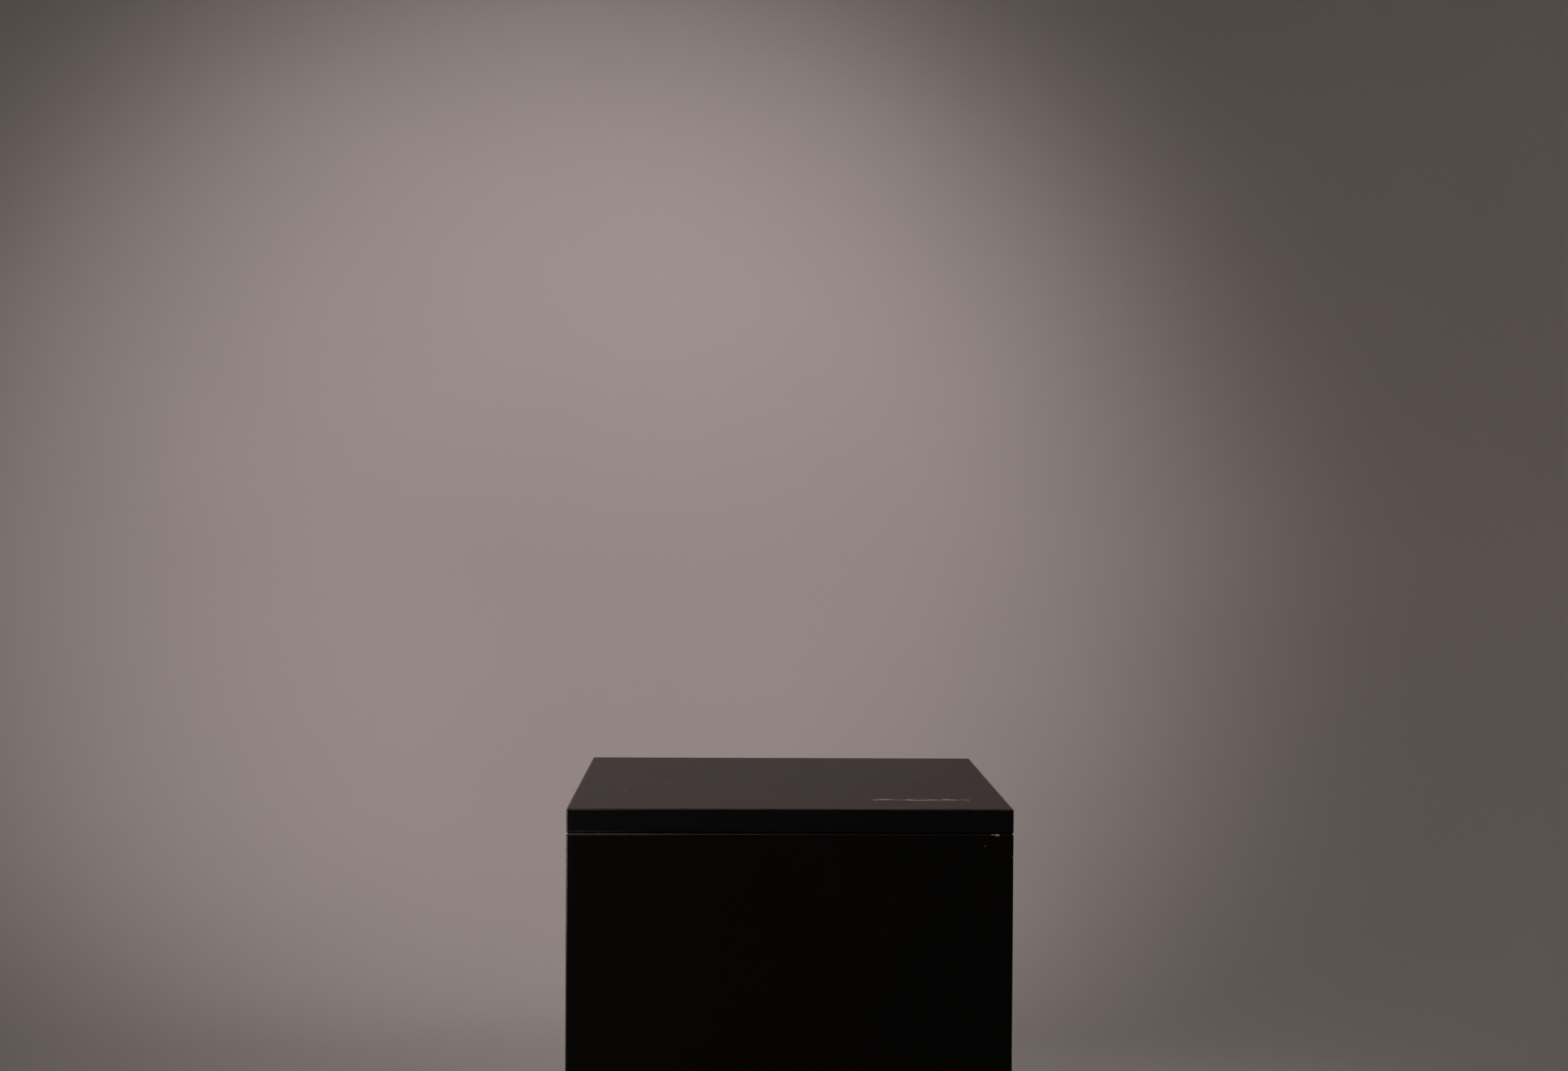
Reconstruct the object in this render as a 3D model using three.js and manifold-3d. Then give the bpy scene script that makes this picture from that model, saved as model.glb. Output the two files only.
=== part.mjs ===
// Display plinth: a square painted fibreboard box with a lift-off lid and four levelling feet.
// Millimetres, +Z up. The origin is on the floor under the middle of the plinth; the front faces -Y.

import * as THREE from 'three';
import { RoundedBoxGeometry } from 'three/addons/geometries/RoundedBoxGeometry.js';
import { mergeVertices } from 'three/addons/utils/BufferGeometryUtils.js';
import Module from 'manifold-3d';

// ---------------------------------------------------------------- driving dimensions

const SIDE = 400; // plan, across the outer faces
const HEIGHT = 1000; // floor to display surface, feet screwed right in
const BOARD = 22; // lid and wall board
const ARRIS = 1.5; // radius of every eased outer edge
const FIT = 0.3; // glue line, or clearance between faces that meet
const MITRE_RELIEF = 0.2; // each wall stops this far short of the corner diagonal, along its length

const FLOOR_GAP = 8; // floor to the lower edge of the walls
const BASE_Z = 20; // floor to the underside of the base panel
const BASE_BOARD = 18;

const POST = 30; // square corner post
const POST_SETBACK = 3; // post top below the wall top
const BEARER = 30; // square base bearer

const CLEAT_LENGTH = 250;
const CLEAT_THICK = 20; // across
const CLEAT_DEEP = 30; // down into the box
const CLEAT_PLAY = 1.5; // cleat to wall, so that the lid drops in freely

const SCREW = { head: 4, shank: 2, rim: 0.4, point: 6 }; // radii, head rim and point length
const CLEAT_SCREW_LENGTH = 45;
const BASE_SCREW_LENGTH = 40;
const CLEAT_SCREW_AT = 85; // each side of a cleat's middle
const BASE_SCREW_AT = 80; // each side of a bearer's middle
const SCREW_SIDES = 12;

const FOOT_AT = 125; // foot axis from each centre plane
const PAD = { radius: 20, rim: 3.5, neck: 9, height: 12, socketFloor: 4.7 };
const STEM = { thread: 5, pin: 4, foot: 5, top: 75, key: 6, keyDepth: 8 }; // M10, 6 mm hex key
const COLLAR = { acrossFlats: 17, low: PAD.height + FIT };
const TEE_NUT = { flange: 12.5, flangeThick: 1.7, barrel: 6, length: 13 };
const ROUND_SIDES = 32;

// ---------------------------------------------------------------- derived places

const OUTER = SIDE / 2;
const INNER = OUTER - BOARD; // inner face of a wall
const LID_Z = HEIGHT - BOARD; // underside of the lid
const WALL_TOP = LID_Z - FIT;
const BASE_TOP = BASE_Z + BASE_BOARD;
const POST_AT = INNER - FIT - POST / 2;
const BEARER_AT = INNER - FIT - BEARER / 2;
const BEARER_LENGTH = 2 * (INNER - FIT - POST - FIT);
const CLEAT_AT = INNER - CLEAT_PLAY - CLEAT_THICK / 2;
const CLEAT_Z = LID_Z - FIT - CLEAT_DEEP; // underside of a cleat
const FLANGE_Z = BASE_Z - FIT - TEE_NUT.flangeThick; // underside of a tee nut's flange

// Quarter turns about Z that carry the front piece round to each side.
const WALLS = [
  { name: 'front', turns: 0 },
  { name: 'right', turns: 1 },
  { name: 'back', turns: 2 },
  { name: 'left', turns: 3 },
];
const CORNERS = [
  { name: 'front_left', x: -1, y: -1 },
  { name: 'front_right', x: 1, y: -1 },
  { name: 'back_left', x: -1, y: 1 },
  { name: 'back_right', x: 1, y: 1 },
];

// ---------------------------------------------------------------- materials

function finish(color, roughness, metalness = 0) {
  return () => new THREE.MeshStandardMaterial({ color, roughness, metalness });
}

const paint = finish(0x0b0a09, 0.42);
const rawBoard = finish(0xa98660, 0.8);
const softwood = finish(0xc9a673, 0.7);
const zincSteel = finish(0xb9bcc0, 0.35, 0.9);
const nylon = finish(0x161616, 0.6);

// ---------------------------------------------------------------- solids

const wasm = await Module();
wasm.setup();

function toSolid(geometry) {
  const bare = geometry.clone();
  bare.deleteAttribute('normal');
  bare.deleteAttribute('uv');
  const merged = mergeVertices(bare);
  return new wasm.Manifold(new wasm.Mesh({
    numProp: 3,
    vertProperties: new Float32Array(merged.attributes.position.array),
    triVerts: new Uint32Array(merged.index.array),
  }));
}

function toGeometry(solid) {
  const { vertProperties, triVerts } = solid.getMesh();
  const geometry = new THREE.BufferGeometry();
  geometry.setAttribute('position', new THREE.BufferAttribute(new Float32Array(vertProperties), 3));
  geometry.setIndex(new THREE.BufferAttribute(new Uint32Array(triVerts), 1));
  geometry.computeVertexNormals();
  return geometry;
}

// A box with eased edges that stands on z = low.
function easedBox(width, depth, low, high) {
  const box = new RoundedBoxGeometry(width, depth, high - low, 2, ARRIS);
  box.translate(0, 0, (low + high) / 2);
  return box;
}

function plainBox(width, depth, low, high) {
  const box = new THREE.BoxGeometry(width, depth, high - low);
  box.translate(0, 0, (low + high) / 2);
  return box;
}

// A turned solid about Z. Outline points are [radius, z], starting and ending on the axis.
function turned(outline, sides) {
  const points = outline.map(([radius, z]) => new THREE.Vector2(radius, z));
  const lathe = new THREE.LatheGeometry(points, sides);
  lathe.rotateX(Math.PI / 2);
  return lathe;
}

// A regular prism about Z, measured across its flats.
function hexPrism(acrossFlats, low, high) {
  const acrossCorners = 2 * acrossFlats / Math.sqrt(3);
  const prism = new THREE.CylinderGeometry(acrossCorners / 2, acrossCorners / 2, high - low, 6);
  prism.rotateX(Math.PI / 2);
  prism.translate(0, 0, (low + high) / 2);
  return prism;
}

// Outline of a countersunk wood screw, head face at z = 0 and point up, grown by `ease` all round.
function screwOutline(length, ease = 0) {
  const head = SCREW.head + ease;
  const shank = SCREW.shank + ease;
  return [
    [0, -ease],
    [head, -ease],
    [head, SCREW.rim],
    [shank, SCREW.rim + head - shank],
    [shank, length - SCREW.point],
    [0, length + ease * SCREW.point / SCREW.shank],
  ];
}

function screwBody(length) {
  return turned(screwOutline(length), SCREW_SIDES);
}

function screwHole(length, x, y, z) {
  return toSolid(turned(screwOutline(length, FIT), SCREW_SIDES).translate(x, y, z));
}

// ---------------------------------------------------------------- lid

function lidPanel() {
  let panel = toSolid(easedBox(SIDE, SIDE, LID_Z, HEIGHT));
  for (const { x, y } of screwPlaces(CLEAT_AT, CLEAT_SCREW_AT)) {
    panel = panel.subtract(screwHole(CLEAT_SCREW_LENGTH, x, y, CLEAT_Z));
  }
  return toGeometry(panel);
}

// The front cleat; the others are quarter turns of it.
function lidCleat() {
  const batten = plainBox(CLEAT_LENGTH, CLEAT_THICK, CLEAT_Z, CLEAT_Z + CLEAT_DEEP);
  let solid = toSolid(batten.translate(0, -CLEAT_AT, 0));
  for (const x of [-CLEAT_SCREW_AT, CLEAT_SCREW_AT]) {
    solid = solid.subtract(screwHole(CLEAT_SCREW_LENGTH, x, -CLEAT_AT, CLEAT_Z));
  }
  return toGeometry(solid);
}

// ---------------------------------------------------------------- box

// The front wall: the eased outer block, cut by a prism whose ends follow the corner diagonals.
function wall() {
  const block = toSolid(easedBox(SIDE, SIDE, FLOOR_GAP, WALL_TOP));
  const reach = OUTER + ARRIS;
  const outline = new THREE.Shape([
    new THREE.Vector2(-reach + MITRE_RELIEF, -reach),
    new THREE.Vector2(reach - MITRE_RELIEF, -reach),
    new THREE.Vector2(INNER - MITRE_RELIEF, -INNER),
    new THREE.Vector2(-INNER + MITRE_RELIEF, -INNER),
  ]);
  const prism = new THREE.ExtrudeGeometry(outline, { depth: HEIGHT, bevelEnabled: false });
  return toGeometry(block.intersect(toSolid(prism)));
}

function cornerPost() {
  return plainBox(POST, POST, BASE_TOP + FIT, WALL_TOP - POST_SETBACK);
}

// The front bearer; the others are quarter turns of it.
function baseBearer() {
  const low = BASE_TOP + FIT;
  let solid = toSolid(plainBox(BEARER_LENGTH, BEARER, low, low + BEARER).translate(0, -BEARER_AT, 0));
  for (const x of [-BASE_SCREW_AT, BASE_SCREW_AT]) {
    solid = solid.subtract(screwHole(BASE_SCREW_LENGTH, x, -BEARER_AT, BASE_Z));
  }
  return toGeometry(solid);
}

function basePanel() {
  const width = 2 * (INNER - FIT);
  let panel = toSolid(plainBox(width, width, BASE_Z, BASE_TOP));
  for (const { x, y } of screwPlaces(BEARER_AT, BASE_SCREW_AT)) {
    panel = panel.subtract(screwHole(BASE_SCREW_LENGTH, x, y, BASE_Z));
  }
  for (const corner of CORNERS) {
    const radius = TEE_NUT.barrel + FIT;
    const hole = new THREE.CylinderGeometry(radius, radius, 3 * BASE_BOARD, ROUND_SIDES);
    hole.rotateX(Math.PI / 2).translate(corner.x * FOOT_AT, corner.y * FOOT_AT, BASE_Z);
    panel = panel.subtract(toSolid(hole));
  }
  return toGeometry(panel);
}

// ---------------------------------------------------------------- levelling foot, about its own axis

function teeNut() {
  const bore = STEM.thread + FIT;
  const top = FLANGE_Z + TEE_NUT.length;
  const ring = turned([
    [bore, FLANGE_Z],
    [TEE_NUT.flange, FLANGE_Z],
    [TEE_NUT.flange, FLANGE_Z + TEE_NUT.flangeThick],
    [TEE_NUT.barrel, FLANGE_Z + TEE_NUT.flangeThick],
    [TEE_NUT.barrel, top],
    [bore, top],
    [bore, FLANGE_Z],
  ], ROUND_SIDES);
  return toGeometry(toSolid(ring));
}

function footPad() {
  const socket = STEM.pin + FIT;
  return toGeometry(toSolid(turned([
    [0, 0],
    [PAD.radius, 0],
    [PAD.radius, PAD.rim],
    [PAD.neck, PAD.height - PAD.rim],
    [PAD.neck, PAD.height],
    [socket, PAD.height],
    [socket, PAD.socketFloor],
    [0, PAD.socketFloor],
  ], ROUND_SIDES)));
}

function footStem() {
  const collarTop = FLANGE_Z - FIT;
  const rod = turned([
    [0, STEM.foot],
    [STEM.pin, STEM.foot],
    [STEM.pin, COLLAR.low + FIT],
    [STEM.thread, COLLAR.low + FIT],
    [STEM.thread, STEM.top],
    [0, STEM.top],
  ], ROUND_SIDES);
  const collar = hexPrism(COLLAR.acrossFlats, COLLAR.low, collarTop);
  const keySocket = hexPrism(STEM.key, STEM.top - STEM.keyDepth, STEM.top + 1);
  return toGeometry(toSolid(rod).add(toSolid(collar)).subtract(toSolid(keySocket)));
}

// ---------------------------------------------------------------- assembly

// Two screws on each side of the square: `distance` from the middle, and `along` to each side.
function screwPlaces(distance, along) {
  const middle = new THREE.Vector2();
  return WALLS.flatMap(({ name, turns }) => [-along, along].map((offset, index) => {
    const place = new THREE.Vector2(offset, -distance).rotateAround(middle, turns * Math.PI / 2);
    return { name: `${name}_${index + 1}`, x: place.x, y: place.y };
  }));
}

function piece(name, geometry, material) {
  const mesh = new THREE.Mesh(geometry, material);
  mesh.name = name;
  return mesh;
}

const plinth = new THREE.Group();
const lid = new THREE.Group();
const carcass = new THREE.Group();
const feet = new THREE.Group();
plinth.add(lid, carcass, feet);

lid.add(piece('lid_panel', lidPanel(), paint()));
carcass.add(piece('base_panel', basePanel(), rawBoard()));

for (const { name, turns } of WALLS) {
  const panel = piece(`${name}_panel`, wall(), paint());
  const cleat = piece(`lid_cleat_${name}`, lidCleat(), softwood());
  const bearer = piece(`base_bearer_${name}`, baseBearer(), softwood());
  for (const mesh of [panel, cleat, bearer]) {
    mesh.rotation.z = turns * Math.PI / 2;
  }
  carcass.add(panel, bearer);
  lid.add(cleat);
}

for (const { name, x, y } of screwPlaces(CLEAT_AT, CLEAT_SCREW_AT)) {
  const screw = piece(`cleat_screw_${name}`, screwBody(CLEAT_SCREW_LENGTH), zincSteel());
  screw.position.set(x, y, CLEAT_Z);
  lid.add(screw);
}

for (const { name, x, y } of screwPlaces(BEARER_AT, BASE_SCREW_AT)) {
  const screw = piece(`base_screw_${name}`, screwBody(BASE_SCREW_LENGTH), zincSteel());
  screw.position.set(x, y, BASE_Z);
  carcass.add(screw);
}

for (const { name, x, y } of CORNERS) {
  const post = piece(`corner_post_${name}`, cornerPost(), softwood());
  post.position.set(x * POST_AT, y * POST_AT, 0);
  const nut = piece(`tee_nut_${name}`, teeNut(), zincSteel());
  nut.position.set(x * FOOT_AT, y * FOOT_AT, 0);
  carcass.add(post, nut);

  const pad = piece(`foot_pad_${name}`, footPad(), nylon());
  const stem = piece(`foot_stem_${name}`, footStem(), zincSteel());
  const foot = new THREE.Group();
  foot.position.set(x * FOOT_AT, y * FOOT_AT, 0);
  foot.add(pad, stem);
  feet.add(foot);
}

export default plinth;
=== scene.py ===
"""Looks for a black painted display plinth: a fibreboard box, a lift-off lid and levelling feet.

Every piece is made in metres in the frame's own coordinates, so its object stays at the origin.
"""

import math

import bmesh
import bpy
from mathutils import Matrix, Vector, noise

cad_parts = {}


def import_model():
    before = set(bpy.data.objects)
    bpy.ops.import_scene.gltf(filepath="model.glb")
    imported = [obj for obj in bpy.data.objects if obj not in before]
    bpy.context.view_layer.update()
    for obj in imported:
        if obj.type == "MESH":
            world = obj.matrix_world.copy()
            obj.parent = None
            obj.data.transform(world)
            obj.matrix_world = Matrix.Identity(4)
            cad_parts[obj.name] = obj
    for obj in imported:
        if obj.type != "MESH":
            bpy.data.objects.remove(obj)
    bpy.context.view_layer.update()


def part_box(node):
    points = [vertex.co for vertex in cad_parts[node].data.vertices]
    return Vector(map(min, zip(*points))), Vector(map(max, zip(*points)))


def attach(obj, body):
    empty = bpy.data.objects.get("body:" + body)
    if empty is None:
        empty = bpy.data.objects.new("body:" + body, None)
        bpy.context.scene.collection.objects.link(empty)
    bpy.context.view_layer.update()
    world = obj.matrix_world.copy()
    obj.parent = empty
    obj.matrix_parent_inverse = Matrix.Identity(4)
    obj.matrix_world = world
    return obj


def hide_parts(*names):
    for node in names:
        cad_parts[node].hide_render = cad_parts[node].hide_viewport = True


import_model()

MM = 0.001
UP = Vector((0, 0, 1))

# ---------------- sizes read from the frame

LID_LOW, LID_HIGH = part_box("lid_panel")
WALL_LOW, WALL_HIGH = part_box("front_panel")
CLEAT_LOW, CLEAT_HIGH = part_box("lid_cleat_front")
BEARER_LOW, BEARER_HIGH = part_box("base_bearer_front")
BASE_LOW, BASE_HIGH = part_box("base_panel")
OUTER = LID_HIGH.x
INNER = -WALL_HIGH.y
HEIGHT = LID_HIGH.z

WALLS = ("front", "right", "back", "left")  # each a quarter turn about Z from the one before
CORNERS = {
    "front_left": (-1, -1),
    "front_right": (1, -1),
    "back_left": (-1, 1),
    "back_right": (1, 1),
}

# ---------------- sizes of the finish

ARRIS = 1.45 * MM  # radius of an eased outer edge
ARRIS_STEPS = 5
HAND_SANDING = 0.22 * MM  # how far an arris is flattened by hand
SLICE = 9 * MM  # spacing of the slices that let an arris waver
WAVER = 55  # waves per metre of a sanded arris
NICKS = 150  # the same for its nicks
TIMBER_ARRIS = 1.2 * MM
TIMBER_SANDING = 0.3 * MM
SCREW_SIDES = 20
STUD_SIDES = 32
ROUND_SIDES = 64


# ================ shading

def plug(tree, value, socket):
    """Gives a socket a field or a constant."""
    if isinstance(value, Field):
        tree.links.new(value.socket, socket)
    elif socket.type == "RGBA" and len(value) == 3:
        socket.default_value = (*value, 1.0)
    else:
        socket.default_value = value


class Field:
    """A number or colour that varies over a surface, combined by ordinary arithmetic."""

    def __init__(self, tree, socket):
        self.tree = tree
        self.socket = socket

    def _math(self, operation, *others):
        node = self.tree.nodes.new("ShaderNodeMath")
        node.operation = operation
        for place, value in enumerate((self, *others)):
            plug(self.tree, value, node.inputs[place])
        return Field(self.tree, node.outputs[0])

    def __add__(self, other):
        return self._math("ADD", other)

    def __sub__(self, other):
        return self._math("SUBTRACT", other)

    def __rsub__(self, other):
        return self * -1 + other

    def __mul__(self, other):
        return self._math("MULTIPLY", other)

    def size(self):
        return self._math("ABSOLUTE")

    def power(self, exponent):
        return self._math("POWER", exponent)

    def root(self):
        return self._math("SQRT")

    def sine(self):
        return self._math("SINE")

    def larger(self, other):
        return self._math("MAXIMUM", other)

    def smaller(self, other):
        return self._math("MINIMUM", other)

    def ramp(self, start, end, low=0.0, high=1.0):
        """Goes smoothly from low at start to high at end."""
        node = self.tree.nodes.new("ShaderNodeMapRange")
        node.interpolation_type = "SMOOTHSTEP"
        for name, value in (("From Min", start), ("From Max", end), ("To Min", low), ("To Max", high)):
            node.inputs[name].default_value = value
        plug(self.tree, self, node.inputs["Value"])
        return Field(self.tree, node.outputs["Result"])


def strongest(fields):
    """The largest of several fields at each place."""
    result = fields[0]
    for field in fields[1:]:
        result = result.larger(field)
    return result


class Surface:
    """A procedural material under construction. Places are in metres, in the frame's coordinates."""

    def __init__(self, name):
        self.material = bpy.data.materials.new(name)
        self.material.use_nodes = True
        self.tree = self.material.node_tree
        self.tree.nodes.clear()
        self.place = self.tree.nodes.new("ShaderNodeTexCoord").outputs["Object"]
        self.x, self.y, self.z = self._parts(self.place)
        self.facing = self._parts(self.tree.nodes.new("ShaderNodeNewGeometry").outputs["Normal"])

    def _parts(self, vector):
        node = self.tree.nodes.new("ShaderNodeSeparateXYZ")
        self.tree.links.new(vector, node.inputs[0])
        return [Field(self.tree, output) for output in node.outputs]

    def _scaled(self, stretch, shift):
        node = self.tree.nodes.new("ShaderNodeMapping")
        node.inputs["Scale"].default_value = stretch
        node.inputs["Location"].default_value = shift
        self.tree.links.new(self.place, node.inputs["Vector"])
        return node.outputs[0]

    def noise(self, size, detail=2.0, roughness=0.5, stretch=(1, 1, 1), shift=(0, 0, 0)):
        """Noise from 0 to 1 whose features are about size metres across."""
        node = self.tree.nodes.new("ShaderNodeTexNoise")
        self.tree.links.new(self._scaled(stretch, shift), node.inputs["Vector"])
        node.inputs["Scale"].default_value = 1 / size
        node.inputs["Detail"].default_value = detail
        node.inputs["Roughness"].default_value = roughness
        return Field(self.tree, node.outputs[0])

    def cells(self, size, stretch=(1, 1, 1)):
        """Distance to the nearest of scattered points, in cell sizes, and that point's random number."""
        node = self.tree.nodes.new("ShaderNodeTexVoronoi")
        self.tree.links.new(self._scaled(stretch, (0, 0, 0)), node.inputs["Vector"])
        node.inputs["Scale"].default_value = 1 / size
        channels = self.tree.nodes.new("ShaderNodeSeparateColor")
        self.tree.links.new(node.outputs["Color"], channels.inputs[0])
        return Field(self.tree, node.outputs["Distance"]), Field(self.tree, channels.outputs[0])

    def specks(self, spacing, radius, share):
        """Scattered dots of about that radius, in that share of the cells."""
        distance, pick = self.cells(spacing)
        dot = distance.ramp(radius / spacing, 0.4 * radius / spacing)
        return dot * pick.ramp(1 - share - 0.01, 1 - share + 0.01)

    def near(self, point, reach):
        """1 close to a point, falling to 0 at that reach."""
        offsets = [place - at for place, at in zip((self.x, self.y, self.z), point)]
        squares = [offset.power(2.0) for offset in offsets]
        return (squares[0] + squares[1] + squares[2]).root().ramp(reach, 0.0)

    def mix(self, mask, first, second):
        node = self.tree.nodes.new("ShaderNodeMix")
        node.data_type = "RGBA"
        plug(self.tree, mask, node.inputs[0])
        plug(self.tree, first, node.inputs[6])
        plug(self.tree, second, node.inputs[7])
        return Field(self.tree, node.outputs[2])

    def tint(self, colour, strength):
        """A colour made lighter and darker by a field around 1."""
        node = self.tree.nodes.new("ShaderNodeVectorMath")
        node.operation = "SCALE"
        node.inputs[0].default_value = colour
        plug(self.tree, strength, node.inputs["Scale"])
        return Field(self.tree, node.outputs[0])

    def finish(self, colour, roughness, heights=(), metallic=0.0, **constants):
        """Closes the material. heights are (field, depth in metres) pairs, coarse to fine."""
        shader = self.tree.nodes.new("ShaderNodeBsdfPrincipled")
        plug(self.tree, colour, shader.inputs["Base Color"])
        plug(self.tree, roughness, shader.inputs["Roughness"])
        plug(self.tree, metallic, shader.inputs["Metallic"])
        for name, value in constants.items():
            shader.inputs[name.replace("_", " ")].default_value = value
        normal = None
        for height, depth in heights:
            bump = self.tree.nodes.new("ShaderNodeBump")
            bump.inputs["Distance"].default_value = depth
            plug(self.tree, height, bump.inputs["Height"])
            if normal:
                self.tree.links.new(normal, bump.inputs["Normal"])
            normal = bump.outputs[0]
        if normal:
            self.tree.links.new(normal, shader.inputs["Normal"])
        output = self.tree.nodes.new("ShaderNodeOutputMaterial")
        self.tree.links.new(shader.outputs[0], output.inputs["Surface"])
        return self.material


# Colours, as linear red, green and blue.
FIBREBOARD = (0.58, 0.475, 0.36)
FIBREBOARD_FLECK = (0.20, 0.12, 0.065)
CORE_PALE = (0.92, 0.77, 0.63)
CORE_BROWN = (0.74, 0.46, 0.28)
LID_BLACK = (0.0084, 0.0086, 0.0092)
WALL_BLACK = (0.0088, 0.0073, 0.0058)
# Worn edge tint that also serves as a painted highlight line along the arrises.
RUBBED_THIN_AND_HIGHLIGHT = (0.24, 0.140, 0.090)
# Pale painted highlight on the arrises, also handling wear.
HANDLED_GREY_AND_HIGHLIGHT = (0.21, 0.185, 0.170)
# Dust on upward faces, tinted red as a painted warm reflection on the top.
SETTLED_DUST_AND_REFLECTION = (0.31, 0.105, 0.070)
LINT_GREY = (0.42, 0.38, 0.35)
SCUFF_BLOOM = (0.52, 0.42, 0.37)
KICK_GREY = (0.17, 0.155, 0.14)
FLOOR_GRIME = (0.34, 0.31, 0.28)
PINE_PALE = (0.70, 0.50, 0.285)
PINE_LATE = (0.47, 0.265, 0.12)
PINE_STREAK = (0.40, 0.25, 0.13)
ZINC_GREY = (0.66, 0.65, 0.62)
ZINC_WARM = (0.60, 0.56, 0.46)
ZINC_BLUE = (0.42, 0.46, 0.52)
NYLON_BLACK = (0.018, 0.018, 0.019)
NYLON_DUST = (0.17, 0.155, 0.14)
BACKDROP = (0.800, 0.745, 0.725)

BURNISHED_ROUGHNESS = 0.31
BARE_ROUGHNESS = 0.88
LINT_SIZE = 2.4 * MM
KICK_TOP = 0.16  # highest kick mark above the floor
GRIME_TOP = 0.09
GROWTH_RING = 3.6 * MM


def fibreboard_colour(surface):
    """Felted wood fibre: even tan with short pale and dark flecks and slow cloudy patches."""
    flecks = surface.noise(0.9 * MM, detail=4, roughness=0.7)
    clouds = surface.noise(60 * MM, detail=2)
    strength = flecks.ramp(0.3, 0.7, 0.80, 1.18) * clouds.ramp(0.3, 0.7, 0.93, 1.06)
    dark, pick = surface.cells(3.2 * MM, stretch=(1, 1, 1.6))
    chips = dark.ramp(0.16, 0.06) * pick.ramp(0.62, 0.66)
    return surface.mix(chips * 0.55, surface.tint(FIBREBOARD, strength), FIBREBOARD_FLECK)


def raw_fibreboard():
    surface = Surface("raw_fibreboard")
    felt = surface.noise(2.5 * MM, detail=2)
    fuzz = surface.noise(0.35 * MM, detail=3, roughness=0.7)
    return surface.finish(
        fibreboard_colour(surface),
        surface.noise(9 * MM).ramp(0.3, 0.7, 0.78, 0.92),
        heights=((felt, 0.03 * MM), (fuzz, 0.05 * MM)),
        Specular_IOR_Level=0.25,
    )


def chipped_core():
    """Bare board inside a paint chip: pale, fuzzy and a little uneven."""
    surface = Surface("chipped_core")
    patch = surface.noise(1.1 * MM, detail=3, roughness=0.6)
    colour = surface.mix(patch.ramp(0.35, 0.65), CORE_PALE, CORE_BROWN)
    return surface.finish(
        colour,
        surface.noise(0.5 * MM).ramp(0.2, 0.8, 0.8, 0.95),
        heights=((surface.noise(0.5 * MM, detail=3), 0.10 * MM),),
        Specular_IOR_Level=0.2,
    )


def distance_to_arris(surface, low_z, high_z):
    """Distance to the nearest arris of a square block: the second smallest of those to its faces."""
    to_faces = [OUTER - surface.x.size(), OUTER - surface.y.size(), high_z - surface.z, surface.z - low_z]
    first = to_faces[0]
    second = None
    for field in to_faces[1:]:
        loser = first.larger(field)
        first = first.smaller(field)
        second = loser if second is None else second.smaller(loser)
    return second


def rubbed_film_and_highlight(surface, film, to_arris, grips_and_highlights):
    """The film rubbed thin along its arrises, in a warm tint that is also a painted highlight line, and a
    pale grey band near where hands take hold that is a painted highlight as well as wear.
    """
    breaks = surface.noise(14 * MM, detail=4, roughness=0.65).ramp(0.42, 0.60)
    # Worn edge tint, mixed in faintly, that is also a painted highlight line along every arris.
    rubbed_and_highlight = to_arris.ramp(1.3 * MM, 0.4 * MM) * breaks
    film = surface.mix(rubbed_and_highlight * 0.12, film, RUBBED_THIN_AND_HIGHLIGHT)
    held_and_highlit = strongest([surface.near(place, reach) for place, reach in grips_and_highlights])
    fret = surface.noise(5 * MM, detail=3, roughness=0.6).ramp(0.30, 0.62, 0.45, 1.0)
    level = surface.facing[2].size().ramp(0.05, 0.25)
    # Painted highlight: a pale band set a little in from the edge of upright arrises, where a glint from
    # a light would fall, and a fainter line on level arrises.
    upright_wear_and_highlight = to_arris.ramp(0.50 * MM, 0.85 * MM) * to_arris.ramp(2.1 * MM, 1.3 * MM) * 0.9
    level_wear_and_highlight = to_arris.ramp(1.1 * MM, 0.35 * MM) * 0.18
    worn_and_highlit = upright_wear_and_highlight * (1 - level) + level_wear_and_highlight * level
    return surface.mix(worn_and_highlit * held_and_highlit * fret, film, HANDLED_GREY_AND_HIGHLIGHT)


def dust_specks(surface, upward, lint):
    """Specks scattered on what faces up, fine ones on the sides too, and one at each place in lint."""
    large = surface.specks(41 * MM, 1.7 * MM, 0.22) * upward
    fine = surface.specks(13 * MM, 0.35 * MM, 0.30) * upward.ramp(0, 1, 0.35, 1)
    breaks = surface.noise(5 * MM, detail=2).ramp(0.35, 0.6)
    scattered = (large * 0.8).larger(fine * 0.45) * breaks
    return strongest([scattered] + [surface.near(place, LINT_SIZE) for place in lint])


def kick_marks(surface, sideways):
    """Level streaks that shoes and brooms leave low on the sides."""
    streaks = surface.noise(11 * MM, detail=4, roughness=0.7, stretch=(0.45, 0.45, 2.2)).ramp(0.56, 0.70)
    patches = surface.noise(0.07, detail=2, shift=(0.7, 0.2, 0.1)).ramp(0.48, 0.66)
    low_down = surface.z.ramp(KICK_TOP, 0.02) * sideways
    return patches * streaks * low_down


def floor_grime(surface, sideways):
    """A faint grey film near the floor, where mops reach."""
    reached = surface.z.ramp(GRIME_TOP, 0.01, 0.0, 0.035) * sideways
    return reached * surface.noise(18 * MM, detail=3).ramp(0.3, 0.7, 0.5, 1)


def handled_sheen(surface, grain, to_arris, roughness):
    """Roughness of the film: uneven from handling, and burnished along the arrises."""
    handled = surface.noise(0.075, detail=4, roughness=0.6, shift=(3.1, 1.7, 0.4))
    sheen = handled.ramp(0.3, 0.7, roughness - 0.006, roughness + 0.010) + (grain - 0.5) * 0.05
    burnished = to_arris.ramp(3.0 * MM, 1.0 * MM)
    return sheen - burnished * (roughness - BURNISHED_ROUGHNESS)


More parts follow.
